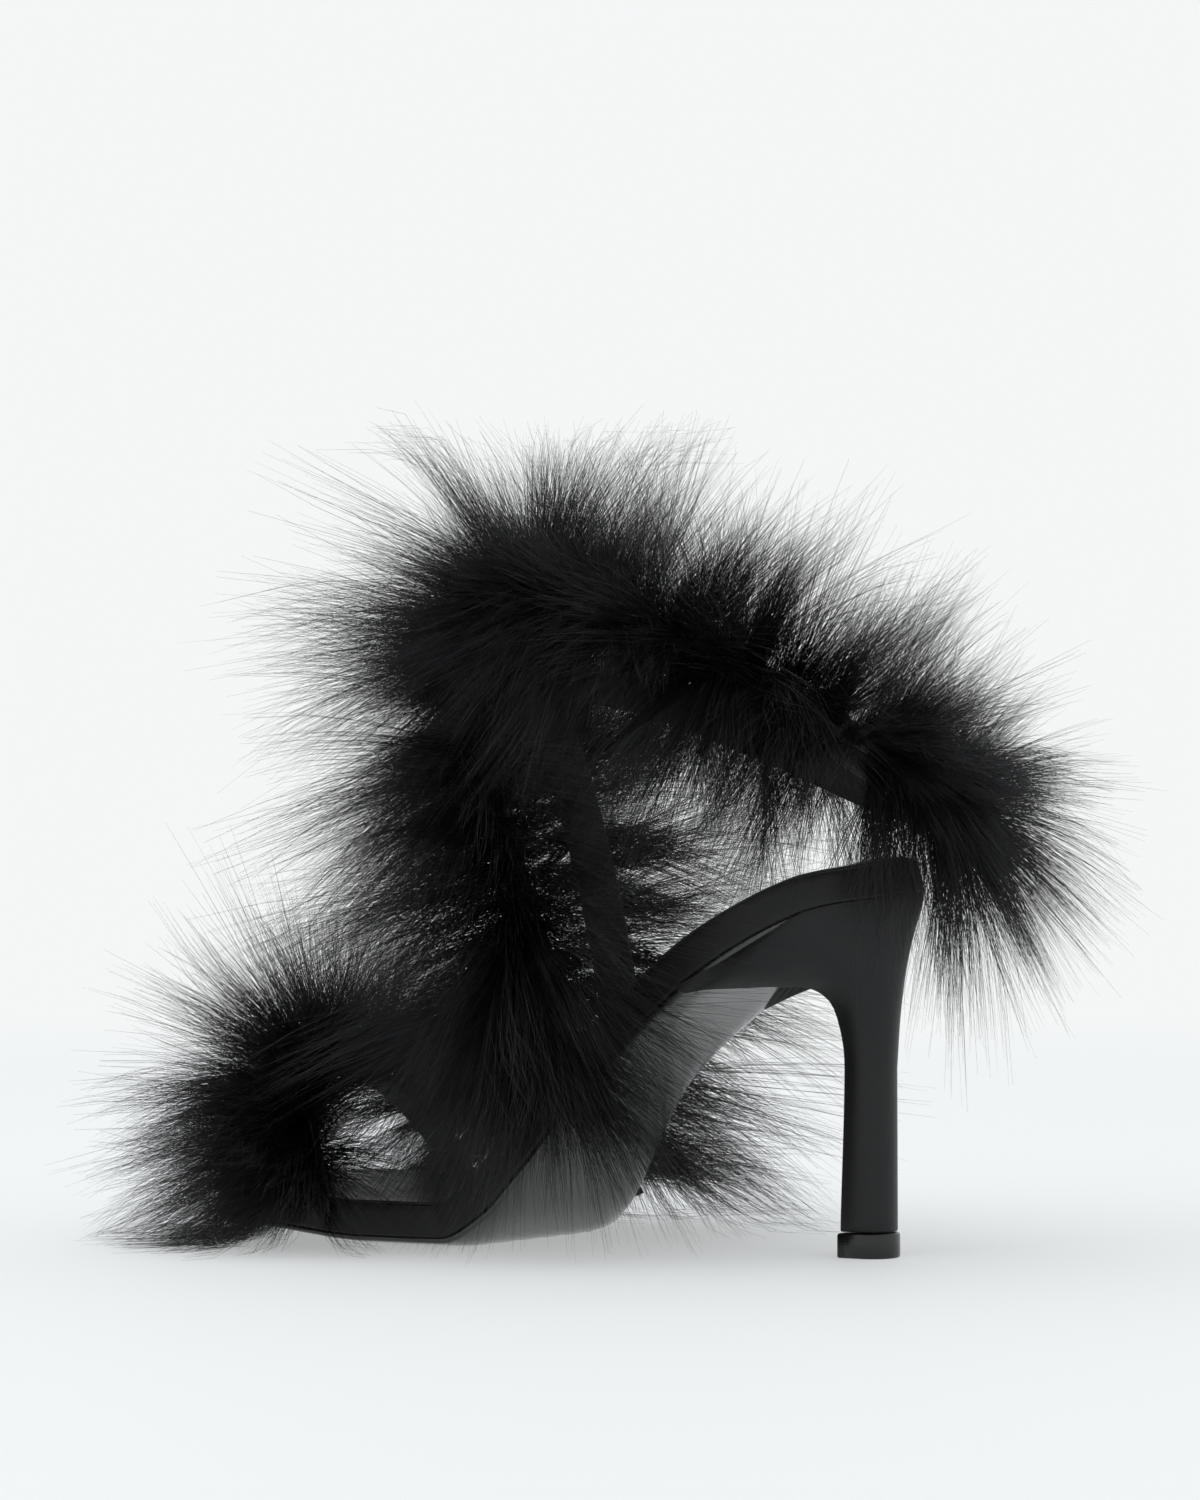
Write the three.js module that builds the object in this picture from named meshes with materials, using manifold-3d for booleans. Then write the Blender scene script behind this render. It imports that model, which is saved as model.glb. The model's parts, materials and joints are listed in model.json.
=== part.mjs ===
// High-heeled sandal, right foot: a wrapped sole on a slim heel, a toe strap and two straps that
// cross over the instep and close round the ankle. Every strap carries a feather boa.
// Millimetres, +Z up. The origin is the centre of the heel tip's ground face, the toe points
// along -Y and +X is the inner side of the foot.

import * as THREE from 'three';
import { mergeVertices } from 'three/addons/utils/BufferGeometryUtils.js';
import Module from 'manifold-3d';

const wasm = await Module();
wasm.setup();

// ---------------------------------------------------------------- driving dimensions

const soleLength = 214.5; // toe tip to back of the seat
const heelHeight = 100; // floor to the sole's lower edge at the back of the seat
const heelOverhang = 13.5; // from the heel tip's centre back to the end of the seat
const ballAngle = 12.4; // degrees between the ball line and a square line across the foot
const crownLift = 1.9; // how far the sole's edges curl up from the floor
const gap = 0.3; // clearance between pieces that touch

const outsoleThickness = 1.6;
const fillerThickness = 4.5;
const boardThickness = 2;
const foamThickness = 1.2;
const sockThickness = 0.8;
const wrapThickness = 0.9;
const outsoleInset = 1;
const edgeClearance = 0.9; // between the wrap and the layers inside it

const shankThickness = 1.5;
const shankWidth = 13;
const shankFrom = 0.46; // shares of the sole's length, from the toe
const shankTo = 0.92;
const rivetRadius = 1.5;

const tipHeight = 6.8;
const tipHalfWidth = 7.9;
const tipFront = -7.9;
const tipBack = 6.7;
const heelSkin = 0.7; // satin over the heel's core
const coreClearance = 0.9; // inside the skin, for the glue
const columnHalfWidth = 7.4;
const columnFront = -7.3;
const columnBack = 6.2;
const breastMiddle = -15.5; // where the heel's front meets the sole on the mid-plane
const spigotRadius = 3;
const spigotWall = 0.9;
const spigotLength = 58;
const pinRadius = 1.5;
const pinLength = 22;
const screwRadius = 2;
const screwLength = 30;
const nailRadius = 0.9;
const nailLength = 15;

const strapWidth = 12;
const toeStrapWidth = 8;
const strapStandoff = 1.8; // a strap's ends off the wall, so that it stays clear across its width
const strapThickness = 1.3;
const liningThickness = 0.8;
const elasticWidth = 11;
const cordRadius = 1.1; // the boa's twisted core
const boaReach = 43; // how far the plumes stand off the strap
const boaHalfWidth = 36;
const floorClearance = 2;
const sliver = 0.05; // finer edges than this are left off the plumes' spaces

const ankleHalfWidth = 37; // strap to mid-plane beside the ankle
const loopLift = 22; // the loop's height above the seat at the back of the heel
const toeArch = 46; // the toe strap's height above the floor

// ---------------------------------------------------------------- helpers

const toeTip = heelOverhang - soleLength;
const stackTop = outsoleThickness + fillerThickness + boardThickness + foamThickness + 4 * gap;
const wrapLow = outsoleThickness + gap;
const innerInset = wrapThickness + edgeClearance;
const along = share => toeTip + share * soleLength;
const step = (a, b, x) => THREE.MathUtils.smoothstep(x, a, b);
const clamp = THREE.MathUtils.clamp;

// A curve through the points that keeps level where two neighbours are level, held past its ends.
function smooth(points) {
  const slopes = points.slice(1).map((p, i) => (p[1] - points[i][1]) / (p[0] - points[i][0]));
  const tangents = points.map((p, i) => {
    const before = slopes[i - 1] ?? slopes[0];
    const after = slopes[i] ?? slopes.at(-1);
    return before * after <= 0 ? 0 : (2 * before * after) / (before + after);
  });
  return x => {
    if (x <= points[0][0]) return points[0][1];
    if (x >= points.at(-1)[0]) return points.at(-1)[1];
    const i = points.findIndex(p => p[0] > x) - 1;
    const width = points[i + 1][0] - points[i][0];
    const t = (x - points[i][0]) / width;
    const hermite = [
      2 * t ** 3 - 3 * t ** 2 + 1, t ** 3 - 2 * t ** 2 + t, 3 * t ** 2 - 2 * t ** 3, t ** 3 - t ** 2,
    ];
    return hermite[0] * points[i][1] + hermite[1] * width * tangents[i]
      + hermite[2] * points[i + 1][1] + hermite[3] * width * tangents[i + 1];
  };
}

// A closed geometry from points and triangles, turned so that its faces point out.
function closed(points, triangles) {
  const at = triangles.map(t => t.map(i => points[i]));
  const volume = at.reduce((sum, [a, b, c]) => sum + a.dot(b.clone().cross(c)), 0);
  const faces = volume < 0 ? triangles.map(([a, b, c]) => [a, c, b]) : triangles;
  const geometry = new THREE.BufferGeometry();
  geometry.setAttribute('position', new THREE.Float32BufferAttribute(points.flatMap(p => p.toArray()), 3));
  geometry.setIndex(faces.flat());
  return geometry;
}

// A body through a row of closed rings, all with the same number of points. The two halves of a
// ring split their faces the same way, so that stacked layers match.
function loft(rings) {
  const count = rings[0].length;
  const triangles = [];
  for (let r = 0; r < rings.length - 1; r++) {
    for (let i = 0; i < count; i++) {
      const a = r * count + i;
      const b = r * count + ((i + 1) % count);
      if (i < count / 2) triangles.push([a, b, b + count], [a, b + count, a + count]);
      else triangles.push([a, b, a + count], [b, b + count, a + count]);
    }
  }
  const last = (rings.length - 1) * count;
  const flat = rings[0].map((_, i) => i);
  const caps = capTriangles(count);
  caps.forEach(([a, b, c]) => triangles.push([flat[a], flat[c], flat[b]], [last + a, last + b, last + c]));
  return closed(rings.flat(), triangles);
}

// Strips across a ring whose points run out along one side and back along the other.
function capTriangles(count) {
  const triangles = [];
  for (let i = 0, j = count - 1; i < j - 1; i++, j--) {
    triangles.push([i, i + 1, j]);
    if (i + 1 < j - 1) triangles.push([i + 1, j - 1, j]);
  }
  return triangles;
}

function toSolid(geometry) {
  const bare = geometry.clone();
  bare.deleteAttribute('normal');
  bare.deleteAttribute('uv');
  const merged = mergeVertices(bare, 1e-4);
  return new wasm.Manifold(new wasm.Mesh({
    numProp: 3,
    vertProperties: new Float32Array(merged.attributes.position.array),
    triVerts: new Uint32Array(merged.index.array),
  }));
}

function toGeometry(solid) {
  const mesh = solid.getMesh();
  const geometry = new THREE.BufferGeometry();
  geometry.setAttribute('position', new THREE.BufferAttribute(new Float32Array(mesh.vertProperties), 3));
  geometry.setIndex(new THREE.BufferAttribute(new Uint32Array(mesh.triVerts), 1));
  return geometry;
}

// The geometry without the cutters. If a cut splits it, the largest body is kept.
function cut(geometry, ...cutters) {
  const left = cutters.reduce((solid, cutter) => solid.subtract(toSolid(cutter)), toSolid(geometry));
  const bodies = left.decompose().sort((a, b) => b.volume() - a.volume());
  return toGeometry(bodies[0]);
}

// ---------------------------------------------------------------- the sole's shape

const sideLine = smooth([
  [0, 0.072], [0.042, 0.042], [0.14, 0.032], [0.24, 0.012], [0.32, 0], [0.435, 0], [0.485, 0.068],
  [0.53, 0.198], [0.608, 0.448], [0.692, 0.615], [0.785, 0.771], [0.878, 0.895], [0.948, 0.95], [1, 0.98],
].map(([share, rise]) => [along(share), rise * heelHeight]));

const breadth = smooth([
  [0, 26], [0.042, 29.4], [0.135, 31.4], [0.25, 37.3], [0.367, 38.4], [0.46, 35.3], [0.53, 29.6],
  [0.61, 24.4], [0.69, 25], [0.785, 27.2], [0.878, 26.4], [1, 25],
].map(([share, half]) => [along(share), half]));

const middle = smooth([
  [0, 12.5], [0.06, 9], [0.14, 5.3], [0.25, 1.7], [0.37, -0.3], [0.48, -2.6], [0.56, -2.2],
  [0.66, -0.5], [0.8, 0],
].map(([share, x]) => [along(share), x]));

const toeRound = 34;
const heelRound = 25;

// Half the width of a layer whose edge lies this far inside the sole's edge.
function halfWidth(y, inset = 0) {
  const toe = clamp((y - toeTip - inset) / (toeRound - inset), 0, 1);
  const heel = clamp((heelOverhang - inset - y) / (heelRound - inset), 0, 1);
  return (breadth(y) - inset) * Math.sqrt(1 - (1 - toe) ** 2) * Math.sqrt(1 - (1 - heel) ** 2);
}

// Height of the sole's underside: it rises sooner on the inner side, and its edges curl up.
function underside(x, y) {
  const skew = Math.tan(THREE.MathUtils.degToRad(ballAngle)) * (1 - step(along(0.7), along(0.94), y));
  const off = Math.abs(x - middle(y)) / breadth(y);
  return sideLine(y + skew * x) + crownLift * clamp((off - 0.6) / 0.4, 0, 1) ** 2;
}

function soleNormal(x, y) {
  const slope = (underside(x, y + 1) - underside(x, y - 1)) / 2;
  return new THREE.Vector3(0, -slope, 1).normalize();
}

// The point at a height above the underside, measured square to it.
function onSole(x, y, height) {
  return new THREE.Vector3(x, y, underside(x, y)).addScaledVector(soleNormal(x, y), height);
}

const stations = 34;
const columns = 4;

// Stations bunch up at both ends, where the outline turns.
function stationY(i, inset) {
  const turn = (1 - Math.cos((Math.PI * clamp(i, 0.25, stations - 0.25)) / stations)) / 2;
  return THREE.MathUtils.lerp(toeTip + inset, heelOverhang - inset, turn);
}

// A layer of the sole between two heights: rings across the foot, from the toe to the heel.
function layer(low, high, inset) {
  const rings = [];
  for (let i = 0; i <= stations; i++) {
    const y = stationY(i, inset);
    rings.push(acrossSole(y, middle(y), halfWidth(y, inset), low, high));
  }
  return loft(rings);
}

function acrossSole(y, centre, half, low, high) {
  const xs = Array.from({ length: columns + 1 }, (_, j) => centre + half * ((2 * j) / columns - 1));
  return [...xs.map(x => onSole(x, y, low)), ...xs.reverse().map(x => onSole(x, y, high))];
}

// A strip of the sole of one width, such as the shank and its groove.
function strip(from, to, width, low, high) {
  const inside = Array.from({ length: stations + 1 }, (_, i) => stationY(i, innerInset));
  const ys = [from, ...inside.filter(y => y > from + 1 && y < to - 1), to];
  return loft(ys.map(y => acrossSole(y, 0, width / 2, low, high)));
}

// The wall round the sole: its loop runs down one side and back up the other.
function wall(low, high, inset, thickness) {
  const sides = [1, -1].map(side => Array.from({ length: stations + 1 }, (_, i) => [side, i]));
  const loop = [...sides[0], ...sides[1].reverse()];
  const corners = [[inset, low], [inset, high], [inset + thickness, high], [inset + thickness, low]];
  const points = loop.flatMap(([side, i]) => corners.map(([depth, height]) => {
    const y = stationY(i, depth);
    return onSole(middle(y) + side * halfWidth(y, depth), y, height);
  }));
  const triangles = [];
  for (let i = 0; i < loop.length; i++) {
    for (let c = 0; c < 4; c++) {
      const a = 4 * i + c;
      const b = 4 * i + ((c + 1) % 4);
      const next = 4 * ((i + 1) % loop.length) - 4 * i;
      triangles.push([a, b, b + next], [a, b + next, a + next]);
    }
  }
  return closed(points, triangles);
}

// A round piece square to the sole, between two heights.
function rod(x, y, radius, low, high, sides = 12) {
  const geometry = new THREE.CylinderGeometry(radius, radius, high - low, sides);
  const turn = new THREE.Quaternion().setFromUnitVectors(new THREE.Vector3(0, 1, 0), soleNormal(x, y));
  const centre = onSole(x, y, (low + high) / 2);
  return geometry.applyQuaternion(turn).translate(centre.x, centre.y, centre.z);
}

// ---------------------------------------------------------------- the heel's shape

// Its outline at a depth below the sole: the wings reach forward just under the sole.
const heelFront = smooth([
  [0, -47.5], [2, -45], [3.5, -41], [8.8, -29], [12.5, -21], [18, -13], [26, -8.4], [40, -6],
  [85, columnFront],
]);
const heelBack = smooth([
  [0, heelOverhang - 0.8], [3, heelOverhang - 1.5], [7.5, 10.6], [18, 8.5], [29, 7.1], [43, columnBack],
]);
const heelHalf = smooth([
  [0, 25.8], [3, 25], [8, 21.8], [14, 16.4], [20, 12], [28, 9], [42, columnHalfWidth],
]);

const heelTop = sideLine(0);
const frontPoints = 7;
const backPoints = 13;

function heelRing(depth, inset) {
  const half = heelHalf(depth + inset) - inset;
  const front = heelFront(depth + inset) + inset;
  const back = heelBack(depth + inset) - inset;
  const hollow = Math.max(0, breastMiddle + inset - front);
  const round = Math.min(half, back - front - 1);
  const plan = [];
  for (let i = 0; i < frontPoints; i++) {
    const across = 1 - (2 * i) / (frontPoints - 1);
    plan.push([half * across, front + hollow * (1 - across ** 2)]);
  }
  for (let i = 0; i < backPoints; i++) {
    const angle = Math.PI * (1 - i / (backPoints - 1));
    plan.push([half * Math.cos(angle), back - round + round * Math.sin(angle)]);
  }
  const level = step(12, 30, depth);
  return plan.map(([x, y]) => new THREE.Vector3(
    x, y, THREE.MathUtils.lerp(underside(x, y) - depth, heelTop - depth, level)));
}

function heelBody(inset, bottom) {
  const depths = [-4, 0, 1.5, 3, 5, 7.5, 10, 12.5, 15, 18, 22, 27, 33, 42, 60, heelTop - bottom];
  return loft(depths.map(depth => heelRing(depth, inset)));
}

// A D-shaped block standing on a level: flat in front, round behind.
function block(front, back, half, low, high) {
  const shape = new THREE.Shape();
  shape.moveTo(half, front);
  shape.lineTo(half, back - half);
  shape.absarc(0, back - half, half, 0, Math.PI, false);
  shape.lineTo(-half, front);
  const depth = high - low;
  const options = { depth, bevelEnabled: false, curveSegments: 20 };
  return new THREE.ExtrudeGeometry(shape, options).translate(0, 0, low);
}

const upright = (radius, low, high, sides = 20) =>
  new THREE.CylinderGeometry(radius, radius, high - low, sides)
    .rotateX(Math.PI / 2).translate(0, 0, (low + high) / 2);

// ---------------------------------------------------------------- strap routes

// A place on the wall's outer face, and the way it faces.
function onWall(side, y, height) {
  const edge = v => onSole(middle(v) + side * halfWidth(v), v, height);
  const run = edge(y + 3).sub(edge(y - 3));
  const facing = run.cross(soleNormal(0, y)).multiplyScalar(side).normalize();
  return { place: edge(y).addScaledVector(facing, strapStandoff), facing };
}

const knot = (x, share, z, ...facing) => ({
  place: new THREE.Vector3(x, along(share), z),
  facing: new THREE.Vector3(...facing).normalize(),
});

const loopBack = heelHeight + loopLift;
const crossing = heelHeight + 57;
const crossShare = 0.468;
// Height of the lower strap at the crossing.
const underStack = liningThickness + strapThickness + 2 * cordRadius + 6 * gap;

// From the inner waist over the instep, then round the outer side of the ankle.
const innerRoute = [
  onWall(1, along(0.553), wrapLow + 1),
  onWall(1, along(0.588), stackTop + 2),
  knot(0.9 * ankleHalfWidth, 0.525, crossing - 72, 1, -0.1, 0),
  knot(0.92 * ankleHalfWidth, 0.49, crossing - 44, 0.95, -0.45, 0.1),
  knot(0.66 * ankleHalfWidth, 0.455, crossing - 16, 0.6, -0.85, 0.45),
  knot(0, crossShare, crossing, 0, -0.8, 0.7),
  knot(-0.66 * ankleHalfWidth, 0.535, crossing, -0.6, -0.6, 0.65),
  knot(-ankleHalfWidth, 0.68, crossing - 12, -1, -0.1, 0.45),
  knot(-ankleHalfWidth, 0.855, loopBack + 7, -1, 0.3, 0.2),
  knot(-0.65 * ankleHalfWidth, 0.967, loopBack, -0.65, 0.9, 0.1),
  knot(-9, 1.003, loopBack, -0.2, 1, 0),
];

// From the outer waist over the first strap, then round the inner side of the ankle.
const outerRoute = [
  onWall(-1, along(0.508), wrapLow + 1),
  onWall(-1, along(0.527), stackTop + 2),
  knot(-1.08 * ankleHalfWidth, 0.487, crossing - 108, -1, -0.1, 0),
  knot(-1.05 * ankleHalfWidth, 0.457, crossing - 62, -1, -0.3, 0.05),
  knot(-0.74 * ankleHalfWidth, 0.43, crossing - 20, -0.7, -0.8, 0.4),
  knot(0, crossShare - (0.8 * underStack) / soleLength, crossing + 0.75 * underStack, 0, -0.8, 0.7),
  knot(0.66 * ankleHalfWidth, 0.52, crossing + 17, 0.6, -0.55, 0.75),
  knot(1.01 * ankleHalfWidth, 0.695, crossing + 12, 1, -0.05, 0.5),
  knot(ankleHalfWidth, 0.862, loopBack + 31, 1, 0.3, 0.3),
  knot(0.65 * ankleHalfWidth, 0.967, loopBack + 14, 0.65, 0.9, 0.15),
  knot(9, 1.005, loopBack + 6, 0.2, 1, 0),
];

const toeRoute = [
  onWall(1, along(0.224), wrapLow + 1),
  onWall(1, along(0.222), stackTop + 2),
  knot(39, 0.205, 0.62 * toeArch, 1, 0, 0.35),
  knot(27, 0.178, 0.9 * toeArch, 0.6, -0.1, 0.8),
  knot(6, 0.162, toeArch, 0, -0.2, 1),
  knot(-15, 0.175, 0.9 * toeArch, -0.5, -0.1, 0.85),
  knot(-31, 0.205, 0.6 * toeArch, -1, 0, 0.45),
  onWall(-1, along(0.232), stackTop + 2),
  onWall(-1, along(0.236), wrapLow + 1),
];

const backRoute = [innerRoute.at(-1), knot(0, 1.01, loopBack + 3, 0, 1, 0), outerRoute.at(-1)];
const backBoaRoute = [innerRoute.at(-2), ...backRoute, outerRoute.at(-2)];

// Frames along a route: place, facing and the direction of the strap's width.
function framesOf(route, steps, from = 0, to = 1) {
  const places = new THREE.CatmullRomCurve3(route.map(k => k.place));
  const facings = new THREE.CatmullRomCurve3(route.map(k => k.facing));
  return Array.from({ length: steps + 1 }, (_, i) => {
    const t = THREE.MathUtils.lerp(from, to, i / steps);
    const tangent = places.getTangent(t);
    const facing = facings.getPoint(t);
    facing.addScaledVector(tangent, -facing.dot(tangent)).normalize();
    return { place: places.getPoint(t), facing, wide: tangent.clone().cross(facing) };
  });
}

const offFrame = ({ place, facing, wide }, across, out) =>
  place.clone().addScaledVector(wide, across).addScaledVector(facing, out);

// A flat band between two distances off the route's face.
function band(route, width, low, high, steps, from, to) {
  const corners = [[-width / 2, low], [width / 2, low], [width / 2, high], [-width / 2, high]];
  return loft(framesOf(route, steps, from, to).map(f =>
    corners.map(([across, out]) => offFrame(f, across, out))));
}

const strapLow = liningThickness + 1.5 * gap;
const cordLow = strapLow + strapThickness + 2 * gap;
const boaLow = cordLow + 2 * cordRadius + 2 * gap;

function cord(route, steps, from, to) {
  const sides = 6;
  const section = Array.from({ length: sides }, (_, i) => (2 * Math.PI * (i + 0.5)) / sides);
  return loft(framesOf(route, steps, from, to).map(f => section.map(angle =>
    offFrame(f, cordRadius * Math.cos(angle), cordLow + cordRadius * (1 + Math.sin(angle))))));
}

// The space that the plumes fill: a half-round body on the strap's outer side, rounded at its ends.
function plumes(route, steps, from, to, grow = 0, reach = boaReach, half = boaHalfWidth) {
  const sides = 9;
  const frames = framesOf(route, steps, from, to);
  return loft(frames.map((frame, i) => {
    const end = 1 - Math.abs((2 * i) / steps - 1); // 0 at the ends, 1 half way
    const size = Math.sqrt(1 - (1 - Math.min(1, 0.12 + 2.6 * end)) ** 2);
    return Array.from({ length: sides + 1 }, (_, k) => {
      const angle = (Math.PI * k) / sides;
      const out = boaLow - grow + (reach * size + 2 * grow) * Math.sin(angle);
      return offFrame(frame, (half * size + grow) * Math.cos(angle), out);
    });
  }));
}

// ---------------------------------------------------------------- materials

const finish = (color, roughness, metalness = 0) =>
  new THREE.MeshStandardMaterial({ color, roughness, metalness });
const satin = finish(0x17171a, 0.62);
const soleLeather = finish(0x1c1c1f, 0.3);
const sockLeather = finish(0x1a1a1c, 0.5);
const fibreboard = finish(0x6b5238, 0.9);
const cork = finish(0x8a6a45, 0.95);
const foam = finish(0xd8d2c4, 0.9);
const steel = finish(0x9a9da1, 0.35, 1);
const heelPlastic = finish(0x2b2b2d, 0.5);
const tipPlastic = finish(0x111113, 0.22);
const ribbon = finish(0x151517, 0.55);
const stretch = finish(0x131315, 0.8);
const feather = finish(0x0c0c0e, 0.8);

const sandal = new THREE.Group();
function add(name, geometry, material) {
  const mesh = new THREE.Mesh(geometry, material);
  mesh.name = name;
  sandal.add(mesh);
  return geometry;
}

// ---------------------------------------------------------------- sole

const fillerLow = outsoleThickness + gap;
const fillerHigh = fillerLow + fillerThickness;
const boardLow = fillerHigh + gap;
const boardHigh = boardLow + boardThickness;
const foamLow = boardHigh + gap;
const sockLow = foamLow + foamThickness + gap;
const shankHigh = fillerHigh - 0.2;
const shankLow = shankHigh - shankThickness;

const screw = {
  x: 0, y: -5, radius: screwRadius, head: 2 * screwRadius, headHeight: 1.2, length: screwLength,
};
const nails = [[-10, -19], [10, -19], [-9, 4], [9, 4]].map(([x, y]) => (
  { x, y, radius: nailRadius, head: 2 * nailRadius, headHeight: 0.7, length: nailLength }));

// A headed fastener, flush with the board, and the same shape grown by a clearance.
function fastener({ x, y, radius, head, headHeight, length }, grow = 0) {
  const shaft = rod(x, y, radius + grow, boardHigh - length - grow, boardHigh - headHeight / 2);
  const top = rod(x, y, head + grow, boardHigh - headHeight - grow, boardHigh + 2 * grow);
  return toGeometry(toSolid(shaft).add(toSolid(top)));
}

const fixings = [screw, ...nails];
const fixingHoles = fixings.map(f => fastener(f, gap));
const rivets = [along(shankFrom) + 9, along(shankTo) - 9];
const rivetHoles = rivets.map(y => rod(0, y, rivetRadius + gap, shankLow - 1, boardHigh + 1));
const shankGroove = strip(
  along(shankFrom) - 0.6, along(shankTo) + 0.6, shankWidth + 2 * gap, shankLow - gap, fillerHigh + 1);

add('outsole', cut(layer(0, outsoleThickness, outsoleInset), ...fixingHoles), soleLeather);
add('platform_filler', cut(layer(fillerLow, fillerHigh, innerInset), shankGroove, ...fixingHoles), cork);
add('insole_board', cut(layer(boardLow, boardHigh, innerInset), ...fixingHoles, ...rivetHoles), fibreboard);
add('footbed_foam', layer(foamLow, foamLow + foamThickness, innerInset), foam);
add('sock_lining', layer(sockLow, sockLow + sockThickness, 0.5), sockLeather);
add('sole_wrap', wall(wrapLow, foamLow + foamThickness, 0, wrapThickness), satin);
add('shank', cut(strip(along(shankFrom), along(shankTo), shankWidth, shankLow, shankHigh), ...rivetHoles,
  ...fixingHoles), steel);
rivets.forEach((y, i) => add(`shank_rivet_${i + 1}`, rod(0, y, rivetRadius, shankLow, boardHigh), steel));

// ---------------------------------------------------------------- heel

const columnBottom = tipHeight + gap;
const soleClearance = [
  layer(-gap, outsoleThickness, outsoleInset - gap), layer(wrapLow - gap, stackTop, -gap)];
const spigotTop = columnBottom + spigotLength;
const pinLow = tipHeight - 4;

add('heel_core', cut(heelBody(heelSkin + coreClearance, columnBottom), ...soleClearance, ...fixingHoles,
  upright(spigotRadius + gap, 0, spigotTop + gap)), heelPlastic);
add('heel_cover', cut(heelBody(0, columnBottom), heelBody(heelSkin, 0), ...soleClearance), satin);
add('heel_spigot', cut(upright(spigotRadius, columnBottom, spigotTop),
  upright(spigotRadius - spigotWall, 0, spigotTop + 5)), steel);
add('heel_tip', cut(block(tipFront, tipBack, tipHalfWidth, 0, tipHeight),
  upright(pinRadius + gap, pinLow - gap, tipHeight + 1)), tipPlastic);
add('heel_tip_pin', upright(pinRadius, pinLow, pinLow + pinLength), steel);
add('heel_screw', fastener(screw), steel);
nails.forEach((nail, i) => add(`heel_nail_${i + 1}`, fastener(nail), steel));

// ---------------------------------------------------------------- straps and boas

const straps = [
  { name: 'toe', route: toeRoute, width: toeStrapWidth, steps: 24 },
  { name: 'inner', route: innerRoute, width: strapWidth, steps: 36 },
  { name: 'outer', route: outerRoute, width: strapWidth, steps: 36 },
];
for (const { name, route, width, steps } of straps) {
  add(`${name}_strap_lining`, band(route, width, 0, liningThickness, steps), ribbon);
  add(`${name}_strap`, band(route, width, strapLow, strapLow + strapThickness, steps), satin);
  add(`${name}_boa_cord`, cord(route, steps, 0.07, name === 'toe' ? 0.93 : 0.985), ribbon);
}
add('back_elastic', band(backRoute, elasticWidth, 0, strapLow + strapThickness, 8, 0.14, 0.86), stretch);

// Each boa fills the space along its strap that the sole, the other straps and its neighbours leave.
const fullStrap = ({ route, width, steps }) => band(route, width + 2 * gap, -gap, boaLow + gap, steps);
const keepOut = [
  layer(-gap, stackTop + sockThickness + 3 * gap, -gap),
  ...straps.map(fullStrap),
  band(backRoute, elasticWidth + 2 * gap, -gap, cordLow, 8),
  new THREE.BoxGeometry(900, 900, 400).translate(0, 0, floorClearance - 200),
];
const boas = [
  { name: 'crossing_boa', route: outerRoute, steps: 8, from: 0.4, to: 0.6 },
  { name: 'inner_upright_boa', route: innerRoute, steps: 10, from: 0.09, to: 0.46 },
  { name: 'outer_upright_boa', route: outerRoute, steps: 10, from: 0.1, to: 0.43 },
  { name: 'inner_ankle_boa', route: outerRoute, steps: 10, from: 0.53, to: 0.9 },
  { name: 'outer_ankle_boa', route: innerRoute, steps: 10, from: 0.53, to: 0.9 },
  { name: 'back_boa', route: backBoaRoute, steps: 10, from: 0, to: 1 },
  { name: 'toe_boa', route: toeRoute, steps: 14, from: 0.13, to: 0.87 },
];
const placed = [];
for (const { name, route, steps, from, to } of boas) {
  const space = cut(plumes(route, steps, from, to), ...keepOut, ...placed);
  add(name, toGeometry(toSolid(space).simplify(sliver)), feather);
  placed.push(plumes(route, steps, from, to, gap));
}

export default sandal;
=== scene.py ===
# High-heeled satin sandal with feather boas on its toe strap and on two crossing ankle straps.
# Sizes are worked out in millimetres and placed in metres. The floor is z = 0, the toe points
# along -Y and +X is the inner side of the foot.

import json
import math

import bmesh
import bpy
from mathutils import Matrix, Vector

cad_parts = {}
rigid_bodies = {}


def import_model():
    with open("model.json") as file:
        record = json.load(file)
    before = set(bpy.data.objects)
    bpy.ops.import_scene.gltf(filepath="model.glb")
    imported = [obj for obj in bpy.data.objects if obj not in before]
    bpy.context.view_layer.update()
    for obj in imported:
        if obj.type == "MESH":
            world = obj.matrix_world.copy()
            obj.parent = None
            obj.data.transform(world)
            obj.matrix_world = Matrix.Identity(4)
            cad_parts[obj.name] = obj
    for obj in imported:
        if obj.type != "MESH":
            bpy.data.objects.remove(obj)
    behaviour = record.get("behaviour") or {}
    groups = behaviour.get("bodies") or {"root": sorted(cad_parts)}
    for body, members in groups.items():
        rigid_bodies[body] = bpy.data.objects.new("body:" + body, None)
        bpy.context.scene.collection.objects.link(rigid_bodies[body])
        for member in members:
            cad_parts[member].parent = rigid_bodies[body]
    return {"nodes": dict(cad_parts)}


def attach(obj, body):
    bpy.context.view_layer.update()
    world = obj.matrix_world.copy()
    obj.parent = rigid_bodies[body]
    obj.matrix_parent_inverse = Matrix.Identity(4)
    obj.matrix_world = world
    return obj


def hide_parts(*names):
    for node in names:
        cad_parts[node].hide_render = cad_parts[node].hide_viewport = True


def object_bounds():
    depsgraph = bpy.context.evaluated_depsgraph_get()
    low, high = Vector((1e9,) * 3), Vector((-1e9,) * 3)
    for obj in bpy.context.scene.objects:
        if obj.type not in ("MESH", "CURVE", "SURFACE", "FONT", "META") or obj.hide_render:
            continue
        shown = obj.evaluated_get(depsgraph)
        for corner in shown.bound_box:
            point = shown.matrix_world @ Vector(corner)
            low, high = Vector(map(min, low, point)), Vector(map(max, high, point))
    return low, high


# A start-up scene may hold a cube, a lamp and a camera of its own. They go first.
for spare in list(bpy.data.objects):
    bpy.data.objects.remove(spare)
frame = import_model()
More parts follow.
